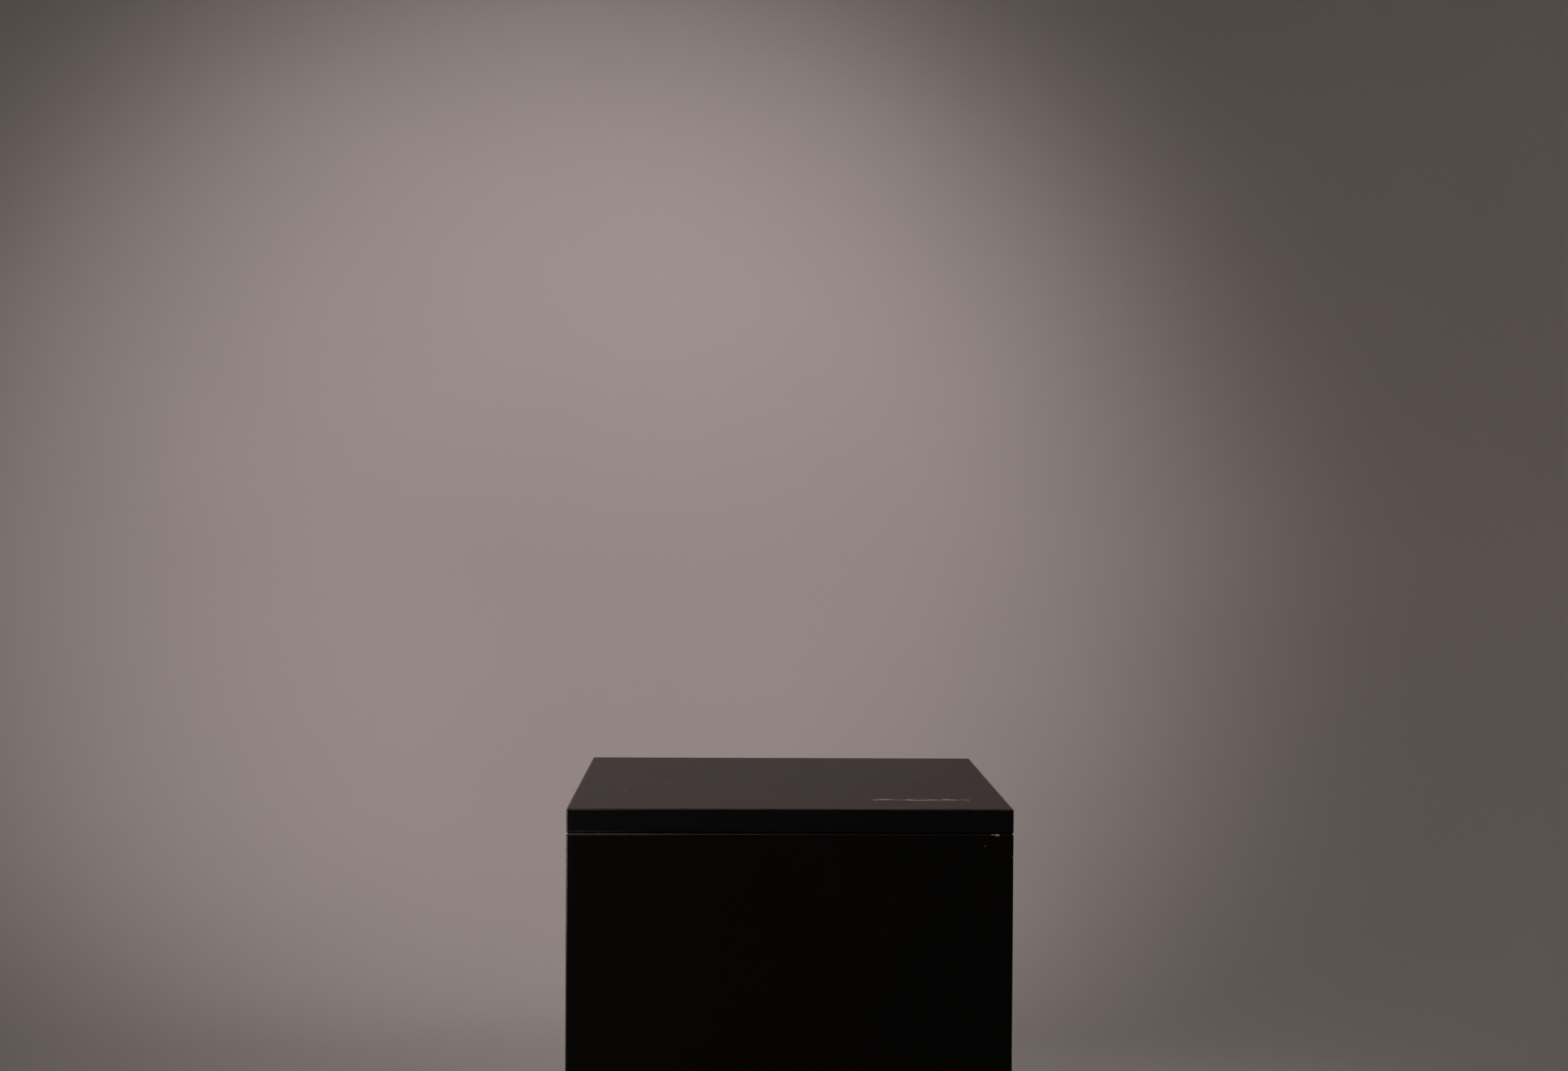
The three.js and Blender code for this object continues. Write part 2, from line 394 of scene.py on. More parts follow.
def paint_cover(surface, bare):
    """1 where the paint covers, 0 where it gives way to bare board across a ragged, misted border."""
    ragged = (surface.noise(9 * MM, detail=4, roughness=0.7) - 0.5) * (5 * MM)
    mist = (surface.noise(0.8 * MM, detail=2) - 0.5) * (7 * MM)
    return (bare(surface) + ragged + mist).ramp(-1.6 * MM, 1.2 * MM)


def black_paint(name, colour, low_z, high_z, bare, roughness, gloss, grips_and_highlights, scuffs=(), lint=()):
    """Satin black sprayed and rolled on board, with the marks of use, a painted highlight along the
    arrises and a painted warm reflection on what faces up.

    bare(surface) is a field in metres, negative where the paint gives way to bare board.
    grips are (place, reach) around which the arrises are rubbed pale and carry a painted highlight.
    scuffs are (start, end, half width) marks rubbed into the top, and lint the places of single specks.
    """
    surface = Surface(name)
    to_arris = distance_to_arris(surface, low_z, high_z)
    upward = surface.facing[2].ramp(0.55, 0.85)
    sideways = 1 - upward
    clouds = surface.noise(0.11, detail=3, roughness=0.6)
    film = surface.tint(colour, clouds.ramp(0.25, 0.75, 0.90, 1.10))
    film = rubbed_film_and_highlight(surface, film, to_arris, grips_and_highlights)
    # Dust film on upward faces, whose red tint is also a painted warm reflection of the backdrop on the
    # top.
    settled_and_reflection = surface.noise(0.07, detail=3, shift=(0.5, 0.2, 0)).ramp(0.3, 0.7, 0.038, 0.050)
    film = surface.mix(upward * settled_and_reflection, film, SETTLED_DUST_AND_REFLECTION)
    dust = dust_specks(surface, upward, lint)
    film = surface.mix(dust, film, LINT_GREY)

    bloom = strongest([scuff(surface, *mark) for mark in scuffs]) if scuffs else None
    if bloom:
        film = surface.mix(bloom, film, SCUFF_BLOOM)
    kicks = kick_marks(surface, sideways)
    film = surface.mix(kicks * 0.30, film, KICK_GREY)
    film = surface.mix(floor_grime(surface, sideways), film, FLOOR_GRIME)

    grain = surface.noise(0.45 * MM, detail=2)
    sheen = handled_sheen(surface, grain, to_arris, roughness) + kicks * 0.12
    if bloom:
        sheen = sheen + bloom * 0.2

    covered = paint_cover(surface, bare)
    heights = [
        (surface.noise(42 * MM, detail=1), 0.045 * MM),
        (surface.noise(3.4 * MM, detail=2, roughness=0.45), 0.016 * MM),
        (grain, 0.004 * MM),
        (dust, 0.05 * MM),
    ]
    return surface.finish(
        surface.mix(covered, fibreboard_colour(surface), film),
        covered * sheen + (1 - covered) * BARE_ROUGHNESS,
        heights,
        Specular_IOR_Level=gloss,
    )


def scuff(surface, start, end, half_width):
    """A broken abrasion on the top, along x from start to end."""
    waver = (surface.noise(30 * MM, detail=2) - 0.5) * (7 * MM)
    band = (surface.y - start[1] + waver).size().ramp(half_width, 0.0)
    ends = surface.x.ramp(start[0], start[0] + 8 * MM) * surface.x.ramp(end[0], end[0] - 5 * MM)
    scratches = surface.noise(1.1 * MM, detail=3, roughness=0.6, stretch=(0.07, 1.0, 1.0))
    scratches = scratches.ramp(0.40, 0.62)
    dabs = surface.noise(4 * MM, detail=3, roughness=0.7, stretch=(0.5, 0.35, 1.0))
    dabs = dabs.ramp(0.36, 0.66, 0.30, 1.0)
    patches = surface.noise(11 * MM, detail=3, shift=(0.31, 0.2, 0)).ramp(0.40, 0.58, 0.22, 1.0)
    return band * ends * scratches * dabs * patches * surface.facing[2].ramp(0.5, 0.9)


def toned(colour, tone):
    return tuple(channel * tone for channel in colour)


def softwood(name, axis, pith, tone):
    """Planed pine whose grain runs along an axis; pith is the heart of the tree, off the piece."""
    surface = Surface(name)
    places = [surface.x, surface.y, surface.z]
    across = [place for index, place in enumerate(places) if index != axis]
    stretch = [1.0, 1.0, 1.0]
    stretch[axis] = 0.06
    sway = surface.noise(38 * MM, detail=3, roughness=0.55, stretch=stretch)
    radius = ((across[0] - pith[0]).power(2.0) + (across[1] - pith[1]).power(2.0)).root()
    phase = (radius + (sway - 0.5) * (14 * MM)) * (2 * math.pi / GROWTH_RING)
    late = phase.sine().ramp(0.15, 0.98)
    drawn_out = [0.5 * scale if scale < 1 else scale for scale in stretch]
    fibres = surface.noise(0.8 * MM, detail=3, roughness=0.6, stretch=drawn_out)
    clouds = surface.noise(45 * MM, detail=2, stretch=stretch)
    pale = surface.tint(toned(PINE_PALE, tone), clouds.ramp(0.3, 0.7, 0.90, 1.08))
    colour = surface.mix(late * 0.62, pale, toned(PINE_LATE, tone))
    streaks = fibres.ramp(0.52, 0.72)
    colour = surface.mix(streaks * 0.30, colour, PINE_STREAK)
    return surface.finish(
        colour,
        fibres.ramp(0.3, 0.7, 0.55, 0.72),
        heights=((late, 0.03 * MM), (fibres, 0.05 * MM)),
        Specular_IOR_Level=0.35,
    )


def zinc_steel():
    """Bright zinc plate, a little iridescent and dull in patches."""
    surface = Surface("zinc_plate")
    patch = surface.noise(4 * MM, detail=3, roughness=0.6)
    fine = surface.noise(0.25 * MM, detail=2)
    colour = surface.mix(patch.ramp(0.4, 0.7), ZINC_GREY, ZINC_WARM)
    bluish = surface.noise(9 * MM, detail=2).ramp(0.5, 0.75)
    colour = surface.mix(bluish * 0.4, colour, ZINC_BLUE)
    return surface.finish(
        colour,
        patch.ramp(0.3, 0.7, 0.24, 0.42),
        heights=((fine, 0.008 * MM),),
        metallic=1.0,
    )


def moulded_nylon():
    """Black moulded nylon with a fine spark-eroded texture, greyed where it meets the floor."""
    surface = Surface("moulded_nylon")
    texture = surface.noise(0.7 * MM, detail=2)
    patches = surface.noise(3 * MM, detail=4, roughness=0.7).ramp(0.35, 0.7)
    dusty = surface.z.ramp(5 * MM, 0.5 * MM) * patches
    colour = surface.mix(dusty * 0.16, NYLON_BLACK, NYLON_DUST)
    return surface.finish(
        colour,
        texture.ramp(0.3, 0.7, 0.42, 0.58),
        heights=((texture, 0.03 * MM),),
    )


# ================ mesh building

def eased_block(low, high, radius, steps):
    """A box with rounded edges."""
    bm = bmesh.new()
    bmesh.ops.create_cube(bm, size=1.0)
    for vert in bm.verts:
        vert.co = Vector([high[i] if vert.co[i] > 0 else low[i] for i in range(3)])
    bmesh.ops.bevel(
        bm, geom=bm.edges[:], offset=radius, offset_type="OFFSET",
        segments=steps, profile=0.5, affect="EDGES",
    )
    return bm


def everything(bm):
    return bm.verts[:] + bm.edges[:] + bm.faces[:]


def slice_block(bm, axis, low, high, spacing):
    """Cuts a block into slices across an axis, so that its arrises can waver."""
    count = round((high - low) / spacing)
    normal = Vector([1.0 if i == axis else 0.0 for i in range(3)])
    for index in range(1, count):
        at = normal * (low + (high - low) * index / count)
        bmesh.ops.bisect_plane(bm, geom=everything(bm), plane_co=at, plane_no=normal)


def sand_by_hand(bm, low, high, radius, depth, seed):
    """Flattens the arrises unevenly, always inwards, and leaves the faces true."""
    for vert in bm.verts:
        depths = []
        for i in range(3):
            near = min(vert.co[i] - low[i], high[i] - vert.co[i])
            depths.append(max(0.0, 1 - near / radius))
        strong = sorted(depths)[-2]
        if strong <= 1e-6:
            continue
        waver = 0.5 + 0.5 * noise.noise(vert.co * WAVER + Vector((seed, 2 * seed, 0)))
        nick = max(0.0, noise.noise(vert.co * NICKS + Vector((0, seed, 3 * seed))) - 0.35)
        push = depth * strong * (waver + 1.6 * nick)
        for i in range(3):
            if depths[i] > 0:
                middle = (low[i] + high[i]) / 2
                vert.co[i] += math.copysign(push * depths[i], middle - vert.co[i])


def cut_away(bm, point, normal):
    """Removes what lies beyond a plane and closes the cut."""
    made = bmesh.ops.bisect_plane(
        bm, geom=everything(bm), plane_co=point, plane_no=normal, clear_outer=True
    )
    rim = [part for part in made["geom_cut"] if isinstance(part, bmesh.types.BMEdge)]
    bmesh.ops.edgeloop_fill(bm, edges=rim)


def circle(bm, radius, z, sides, start=0.0):
    """A ring of vertices round Z. It starts at a share of one side."""
    angles = (2 * math.pi * (k + start) / sides for k in range(sides))
    return [bm.verts.new((radius * math.cos(a), radius * math.sin(a), z)) for a in angles]


def turned(outline, sides):
    """A closed solid turned about Z. The outline is (radius, z) points from the axis back to the axis."""
    bm = bmesh.new()
    rings = []
    for radius, z in outline:
        if radius < 1e-9:
            rings.append([bm.verts.new((0, 0, z))])
        else:
            rings.append(circle(bm, radius, z, sides))
    for lower, upper in zip(rings, rings[1:]):
        for k in range(sides):
            after = (k + 1) % sides
            if len(lower) == 1:
                bm.faces.new((lower[0], upper[after], upper[k]))
            elif len(upper) == 1:
                bm.faces.new((lower[k], lower[after], upper[0]))
            else:
                bm.faces.new((lower[k], lower[after], upper[after], upper[k]))
    bmesh.ops.recalc_face_normals(bm, faces=bm.faces[:])
    return bm


def ring(outline, sides):
    """A closed ring turned about Z from a closed outline of (radius, z) points off the axis."""
    bm = bmesh.new()
    rows = []
    for k in range(sides):
        angle = 2 * math.pi * k / sides
        rows.append([bm.verts.new((r * math.cos(angle), r * math.sin(angle), z)) for r, z in outline])
    count = len(outline)
    for k in range(sides):
        here, there = rows[k], rows[(k + 1) % sides]
        for j in range(count):
            bm.faces.new((here[j], there[j], there[(j + 1) % count], here[(j + 1) % count]))
    bmesh.ops.recalc_face_normals(bm, faces=bm.faces[:])
    return bm


def close_tube(bm, rings):
    """Joins rings of vertices into a tube and closes its ends."""
    sides = len(rings[0])
    for lower, upper in zip(rings, rings[1:]):
        for k in range(sides):
            after = (k + 1) % sides
            bm.faces.new((lower[k], lower[after], upper[after], upper[k]))
    bm.faces.new(rings[0][::-1])
    bm.faces.new(rings[-1])


def threaded_rod(core, crest, pitch, low, high, sides, rows):
    """A rod about Z with a helical thread, which fades out at both ends. Each turn has that many rows."""
    bm = bmesh.new()
    steps = max(2, round((high - low) / pitch * rows))
    rings = []
    for row in range(steps + 1):
        z = low + (high - low) * row / steps
        fade = min(1.0, (z - low) / pitch, (high - z) / pitch)
        points = []
        for k in range(sides):
            phase = (z / pitch - k / sides) % 1.0
            tooth = max(0.0, 1 - abs(phase - 0.5) * 2 / 0.86)
            radius = core + (crest - core) * tooth * fade
            angle = 2 * math.pi * k / sides
            points.append(bm.verts.new((radius * math.cos(angle), radius * math.sin(angle), z)))
        rings.append(points)
    close_tube(bm, rings)
    return bm


def prism(corners, low, high):
    """An upright prism on (x, y) corners."""
    bm = bmesh.new()
    floor = bm.faces.new([bm.verts.new((x, y, low)) for x, y in corners])
    made = bmesh.ops.extrude_face_region(bm, geom=[floor])
    for part in made["geom"]:
        if isinstance(part, bmesh.types.BMVert):
            part.co.z = high
    bmesh.ops.recalc_face_normals(bm, faces=bm.faces[:])
    return bm


def scaled(points):
    """An outline given in millimetres, in metres."""
    return [(r * MM, z * MM) for r, z in points]


def rectangle(low_x, high_x, low_y, high_y):
    return [(low_x, low_y), (high_x, low_y), (high_x, high_y), (low_x, high_y)]


def hexagon(across_flats):
    radius = across_flats / math.sqrt(3)
    return [(radius * math.sin(k * math.pi / 3), radius * math.cos(k * math.pi / 3)) for k in range(6)]


def spin_mesh(bm, turns):
    """Turns a mesh about Z by quarter turns."""
    bmesh.ops.rotate(bm, matrix=Matrix.Rotation(turns * math.pi / 2, 3, "Z"), verts=bm.verts[:])


def add_to(bm, part, shift=(0, 0, 0)):
    """Adds a part, moved by shift, to a mesh under construction."""
    bmesh.ops.translate(part, vec=shift, verts=part.verts[:])
    mesh = bpy.data.meshes.new("part")
    part.to_mesh(mesh)
    part.free()
    bm.from_mesh(mesh)
    bpy.data.meshes.remove(mesh)


def linked(name, data):
    """A new object in the scene."""
    thing = bpy.data.objects.new(name, data)
    bpy.context.scene.collection.objects.link(thing)
    return thing


def drop(thing):
    """Removes an object and its mesh."""
    mesh = thing.data
    bpy.data.objects.remove(thing)
    bpy.data.meshes.remove(mesh)


def loose_object(bm, name, material):
    """An object made from a mesh under construction."""
    mesh = bpy.data.meshes.new(name)
    bm.to_mesh(mesh)
    bm.free()
    mesh.materials.append(material)
    return linked(name, mesh)


def settle(thing):
    """Replaces an object's mesh by the result of its modifiers."""
    graph = bpy.context.evaluated_depsgraph_get()
    mesh = bpy.data.meshes.new_from_object(thing.evaluated_get(graph), depsgraph=graph)
    thing.modifiers.clear()
    before = thing.data
    thing.data = mesh
    bpy.data.meshes.remove(before)
    mesh.name = thing.name


def carve(thing, tools, operation="DIFFERENCE"):
    """Cuts tools away from an object, or joins them to it, one by one, and removes them.

    Cut faces keep the tool's material. A tool's own parts may not cross: the solver would return nothing.
    """
    for tool in tools:
        modifier = thing.modifiers.new("carve", "BOOLEAN")
        modifier.operation = operation
        modifier.solver = "EXACT"
        modifier.material_mode = "TRANSFER"
        modifier.object = tool
        settle(thing)
    for tool in tools:
        drop(tool)


def smooth(thing, angle=32):
    """Smooth shading that keeps flat faces flat and edges over the angle sharp."""
    mesh = thing.data
    for polygon in mesh.polygons:
        polygon.use_smooth = True
    mesh.set_sharp_from_angle(angle=math.radians(angle))
    modifier = thing.modifiers.new("even_normals", "WEIGHTED_NORMAL")
    modifier.keep_sharp = True
    modifier.weight = 60
    settle(thing)


def place_copy(shape, name, shift, spin=0.0):
    """A copy of a shape, turned and moved in its mesh."""
    mesh = shape.data.copy()
    mesh.name = name
    mesh.transform(Matrix.Translation(shift) @ Matrix.Rotation(spin, 4, "Z"))
    return linked(name, mesh)


def join_frame(thing, body, node):
    """The piece moves with a body and stands in for a CAD node, which it hides."""
    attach(thing, body)
    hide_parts(node)


def chip(centre, size, seed, material):
    """A tool for a chip: a small uneven lump."""
    bm = bmesh.new()
    bmesh.ops.create_icosphere(bm, subdivisions=3, radius=1.0)
    for vert in bm.verts:
        direction = vert.co.normalized()
        lump = noise.noise(direction * 1.7 + Vector((seed, 0, 0)))
        ragged = noise.noise(direction * 5.1 + Vector((0, seed, 0)))
        vert.co = direction * (1 + 0.32 * lump + 0.12 * ragged)
    bmesh.ops.scale(bm, vec=size, verts=bm.verts[:])
    bmesh.ops.translate(bm, vec=centre, verts=bm.verts[:])
    return loose_object(bm, "chip_tool", material)


def quarter_turns(vector, turns):
    """Carries a point or a direction at the front round to another side."""
    return Matrix.Rotation(turns * math.pi / 2, 4, "Z") @ Vector(vector)


# ================ finishes

TOP_SCUFF = ((0.074, -0.137), (0.168, -0.137), 9 * MM)  # start, end and half width
LINT_SPOTS = ((-0.154, -0.077), (-0.181, 0.085), (-0.113, -0.012), (0.131, 0.032))

# Where hands take hold of the lid and of the box, which is also where a pale painted highlight lies along
# the arrises: (place, reach).
LID_GRIPS_AND_HIGHLIGHTS = [
    ((-OUTER, -OUTER, LID_LOW.z), 0.085),
    ((OUTER, 0.04, LID_HIGH.z), 0.11),
    ((-0.05, OUTER, LID_HIGH.z), 0.10),
]
WALL_GRIPS_AND_HIGHLIGHTS = [
    ((-OUTER, -OUTER, WALL_HIGH.z - 10 * MM), 0.125),
    ((OUTER, OUTER, WALL_HIGH.z - 60 * MM), 0.14),
    ((-OUTER, OUTER, WALL_HIGH.z - 90 * MM), 0.12),
    ((OUTER, -OUTER, WALL_LOW.z + 30 * MM), 0.08),
]


def lid_bare(surface):
    """Bare board on the underside, inside a painted margin that the walls cover."""
    reach = surface.x.size().larger(surface.y.size())
    return (reach - (INNER - 4 * MM)).larger(surface.z - (LID_LOW.z + 1 * MM))


def wall_bare(surface):
    """Bare board on the inner faces; paint wraps the edges and mists a little way down from the top."""
    reach = surface.x.size().larger(surface.y.size())
    return ((reach - (INNER + 0.4 * MM)) * 40).larger(surface.z - (WALL_HIGH.z - 9 * MM))


CORE = chipped_core()
RAW_BOARD = raw_fibreboard()
ZINC = zinc_steel()
NYLON = moulded_nylon()
LID_PAINT = black_paint(
    "lid_paint",
    colour=LID_BLACK,
    low_z=LID_LOW.z,
    high_z=LID_HIGH.z,
    bare=lid_bare,
    roughness=0.46,
    gloss=0.335,
    grips_and_highlights=LID_GRIPS_AND_HIGHLIGHTS,
    scuffs=[TOP_SCUFF],
    lint=[(x, y, LID_HIGH.z) for x, y in LINT_SPOTS],
)
WALL_PAINT = black_paint(
    "wall_paint",
    colour=WALL_BLACK,
    low_z=WALL_LOW.z,
    high_z=WALL_HIGH.z,
    bare=wall_bare,
    roughness=0.33,
    gloss=0.5,
    grips_and_highlights=WALL_GRIPS_AND_HIGHLIGHTS,
)

# ================ lid and walls

# Chips are (centre, size in millimetres, seed, whether bare board shows).
WALL_CHIPS = [
    ((0.1848, -OUTER, WALL_HIGH.z - 0.2 * MM), (2.6, 1.0, 1.5), 1.3, True),
    ((0.1816, -OUTER, WALL_HIGH.z - 0.2 * MM), (2.6, 0.8, 0.8), 17.6, True),
    ((0.1743, -OUTER, HEIGHT - 33 * MM), (0.42, 0.3, 0.42), 2.1, True),
    ((OUTER - 0.5 * MM, -OUTER + 0.3 * MM, HEIGHT - 43 * MM), (0.9, 0.5, 0.5), 3.7, True),
    ((-OUTER + 0.5 * MM, -OUTER + 0.3 * MM, WALL_HIGH.z - 0.2 * MM), (0.9, 0.9, 0.7), 14.9, True),
    ((-0.171, -OUTER + 0.2 * MM, WALL_HIGH.z - 0.3 * MM), (0.8, 0.5, 0.5), 15.3, True),
    ((-0.1990, -OUTER, WALL_LOW.z + 0.5 * MM), (2.6, 2.2, 2.8), 4.2, True),
    ((0.062, -OUTER, WALL_LOW.z), (4.2, 1.5, 1.6), 5.9, True),
    ((OUTER, 0.1990, WALL_LOW.z + 0.3 * MM), (2.4, 2.8, 3.2), 6.4, True),
    ((OUTER, -0.085, WALL_LOW.z), (1.3, 3.4, 1.4), 7.7, True),
    ((-OUTER, 0.1995, 0.412), (1.2, 1.2, 2.6), 8.8, True),
    ((-0.121, OUTER, WALL_LOW.z), (3.2, 1.4, 1.7), 9.5, True),
    ((-OUTER, -0.031, WALL_HIGH.z), (0.9, 2.2, 0.8), 10.3, False),
]
LID_CHIPS = [
    ((OUTER, 0.1992, LID_HIGH.z), (1.7, 1.5, 1.4), 11.4, True),
    ((-OUTER + 0.4 * MM, -OUTER + 0.4 * MM, LID_HIGH.z - 0.3 * MM), (0.7, 0.7, 0.6), 16.2, True),
    ((-OUTER, 0.066, LID_LOW.z), (0.8, 2.3, 0.9), 12.6, True),
    ((0.047, OUTER, LID_HIGH.z), (1.8, 0.6, 0.6), 13.1, False),
]


def worn_block(low, high, seed):
    """A block whose eased arrises waver as hand sanding leaves them."""
    bm = eased_block(low, high, ARRIS, ARRIS_STEPS)
    for axis in range(3):
        if high[axis] - low[axis] > 0.1:
            slice_block(bm, axis, low[axis], high[axis], SLICE)
    sand_by_hand(bm, low, high, ARRIS, HAND_SANDING, seed)
    return bm


def chip_tools(chips, paint):
    tools = []
    for centre, size, seed, bare in chips:
        size = [side * MM for side in size]
        tools.append(chip(centre, size, seed, CORE if bare else paint))
    return tools


def screw_places(distance, along):
    """Name, x and y of two screws on each side of the square."""
    for turns, side in enumerate(WALLS):
        for index, offset in enumerate((-along, along)):
            place = quarter_turns((offset, -distance, 0), turns)
            yield f"{side}_{index + 1}", place.x, place.y


def lid_board():
    bm = worn_block(LID_LOW, LID_HIGH, 2.0)
    lid = loose_object(bm, "lid_board", LID_PAINT)
    carve(lid, [screw_holes(CLEAT_SCREWS)] + chip_tools(LID_CHIPS, LID_PAINT))
    smooth(lid)
    join_frame(lid, "lid", "lid_panel")


def wall_boards():
    """Four mitred walls, cut from one block so that their arrises meet."""
    low = Vector((-OUTER, -OUTER, WALL_LOW.z))
    high = Vector((OUTER, OUTER, WALL_HIGH.z))
    block = worn_block(low, high, 5.0)
    for turns, side in enumerate(WALLS):
        bm = block.copy()
        cut_away(bm, quarter_turns((0, -INNER, 0), turns), quarter_turns((0, 1, 0), turns))
        for normal in ((1, 1, 0), (-1, 1, 0)):
            cut_away(bm, Vector((0, 0, 0)), quarter_turns(normal, turns).normalized())
        wall = loose_object(bm, f"{side}_wall", WALL_PAINT)
        outward = quarter_turns((0, -1, 0), turns)
        on_wall = [row for row in WALL_CHIPS if Vector(row[0]).dot(outward) > OUTER - 1.5 * MM]
        carve(wall, chip_tools(on_wall, WALL_PAINT))
        smooth(wall)
        join_frame(wall, "carcass", f"{side}_panel")
    block.free()


# ================ screws

HEAD = 4.0 * MM  # radius of a screw's head
SHANK = 2.0 * MM  # radius of its thread
HEAD_RIM = 0.4 * MM
THREAD_PITCH = 2.2 * MM
SCREW_POINT = 6 * MM
RECESS = 2.1 * MM  # half the span of the cross in its head
RECESS_WIDTH = 1.1 * MM
RECESS_DEPTH = 2.0 * MM
CLEAT_AT = -(CLEAT_LOW.y + CLEAT_HIGH.y) / 2  # distance of the cleats from the middle
BEARER_AT = -(BEARER_LOW.y + BEARER_HIGH.y) / 2


def screw_set(prefix, body, distance, along):
    """Where each screw of a set stands, read from its node's box."""
    low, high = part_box(f"{prefix}_front_1")
    return {
        "prefix": prefix,
        "body": body,
        "z": low.z,
        "length": high.z - low.z,
        "places": list(screw_places(distance, along)),
    }


CLEAT_SCREWS = screw_set("cleat_screw", "lid", CLEAT_AT, -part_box("cleat_screw_front_1")[0].x - HEAD)
BASE_SCREWS = screw_set("base_screw", "carcass", BEARER_AT, -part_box("base_screw_front_1")[0].x - HEAD)


def screw_holes(screws, ease=0.25 * MM):
    """One tool that cuts every hole of a set, with its countersinks."""
    bm = bmesh.new()
    for _, x, y in screws["places"]:
        outline = [
            (0, -1 * MM),
            (HEAD + ease, -1 * MM),
            (HEAD + ease, HEAD_RIM),
            (SHANK + ease, HEAD_RIM + HEAD - SHANK),
            (SHANK + ease, screws["length"] - 5 * MM),
            (0, screws["length"] + 1 * MM),
        ]
        add_to(bm, turned(outline, SCREW_SIDES), Vector((x, y, screws["z"])))
    return loose_object(bm, "screw_hole_tool", RAW_BOARD)


def screw_shape(length):
    """A countersunk chipboard screw about Z: head face at z = 0, cross recess, thread and point."""
    bm = bmesh.new()
    neck = HEAD_RIM + HEAD - SHANK + 4 * MM
    levels = [(0.0, HEAD - 0.35 * MM), (0.15 * MM, HEAD), (HEAD_RIM, HEAD)]
    levels += [(HEAD_RIM + (HEAD - SHANK) * k / 4, HEAD - (HEAD - SHANK) * k / 4) for k in range(1, 5)]
    levels.append((neck, SHANK * 0.82))
    rows = round((length - neck) / THREAD_PITCH * 8)
    levels += [(neck + (length - neck) * k / rows, None) for k in range(1, rows + 1)]
    rings = []
    for z, radius in levels:
        points = []
        for k in range(SCREW_SIDES):
            angle = 2 * math.pi * k / SCREW_SIDES
            here = radius if radius else thread_radius(z, k / SCREW_SIDES, neck, length)
            points.append(bm.verts.new((here * math.cos(angle), here * math.sin(angle), z)))
        rings.append(points)
    close_tube(bm, rings)
    screw = loose_object(bm, "screw_shape", ZINC)
    carve(screw, cross_recess())
    smooth(screw, 38)
    return screw


def thread_radius(z, turn, neck, length):
    """Radius of a screw's thread at a height and a share of a turn, tapering to its point."""
    phase = (z / THREAD_PITCH - turn) % 1.0
    tooth = max(0.0, 1 - abs(phase - 0.5) * 2 / 0.55)
    fade = min(1.0, (z - neck) / THREAD_PITCH)
    taper = max(0.05, min(1.0, (length - z) / SCREW_POINT))
    return (SHANK * 0.68 + SHANK * 0.32 * tooth * fade) * taper


def cross_recess():
    """The two tapered arms of a cross, as two tools, because a tool's parts may not cross."""
    arms = []
    for turns in range(2):
        outline = rectangle(-RECESS, RECESS, -RECESS_WIDTH / 2, RECESS_WIDTH / 2)
        arm = prism(outline, -0.5 * MM, RECESS_DEPTH)
        for vert in arm.verts:
            if vert.co.z > 0:
                vert.co.x *= 0.35
                vert.co.y *= 0.7
        spin_mesh(arm, turns)
        arms.append(loose_object(arm, "cross_tool", ZINC))
    return arms


def place_screws(screws):
    """Copies of one screw, each turned a little further than the last."""
    shape = screw_shape(screws["length"])
    for index, (suffix, x, y) in enumerate(screws["places"]):
        node = f"{screws['prefix']}_{suffix}"
        place = Vector((x, y, screws["z"]))
        screw = place_copy(shape, f"{node}_threaded", place, spin=0.7 * index)
        join_frame(screw, screws["body"], node)
    drop(shape)


# ================ timber and base

def timber(node, name, body, axis, pith, holes=None, chamfer=None, tone=1.0):
    """A planed batten in a node's box, with its grain along an axis."""
    low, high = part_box(node)
    bm = eased_block(low, high, TIMBER_ARRIS, 3)
    slice_block(bm, axis, low[axis], high[axis], 4 * SLICE)
    sand_by_hand(bm, low, high, TIMBER_ARRIS, TIMBER_SANDING, pith[0] * 100)
    if chamfer:
        cut_away(bm, *chamfer)
    batten = loose_object(bm, name, softwood(f"pine_{node}", axis, pith, tone))
    if holes:
        carve(batten, [screw_holes(holes)])
    smooth(batten)
    join_frame(batten, body, node)


def battens():
    """Cleats, bearers and corner posts. Each is sawn from another place in the tree."""
    for turns, side in enumerate(WALLS):
        axis = turns % 2
        outward = quarter_turns((0, -1, 0), turns)
        lead_in = (outward + Vector((0, 0, -1))).normalized()
        edge = outward * (-CLEAT_LOW.y - 4 * MM) + UP * CLEAT_LOW.z
        spread = 9 * MM * turns
        timber(
            f"lid_cleat_{side}", f"cleat_{side}", "lid", axis, pith=(0.05 + spread, 0.97 - spread),
            holes=CLEAT_SCREWS, chamfer=(edge, lead_in), tone=1.0 + 0.05 * (turns % 3),
        )
        timber(
            f"base_bearer_{side}", f"bearer_{side}", "carcass", axis, pith=(0.11 - spread, 0.02 + spread),
            holes=BASE_SCREWS, tone=0.96 + 0.04 * turns,
        )
    for index, (corner, (x, y)) in enumerate(CORNERS.items()):
        pith = (x * (0.16 + 0.02 * index), y * (0.21 - 0.03 * index))
        timber(
            f"corner_post_{corner}", f"post_{corner}", "carcass", 2, pith=pith, tone=0.95 + 0.04 * index
        )


NUT_BORE = 6.15 * MM  # radius of the bores that hold the tee nuts


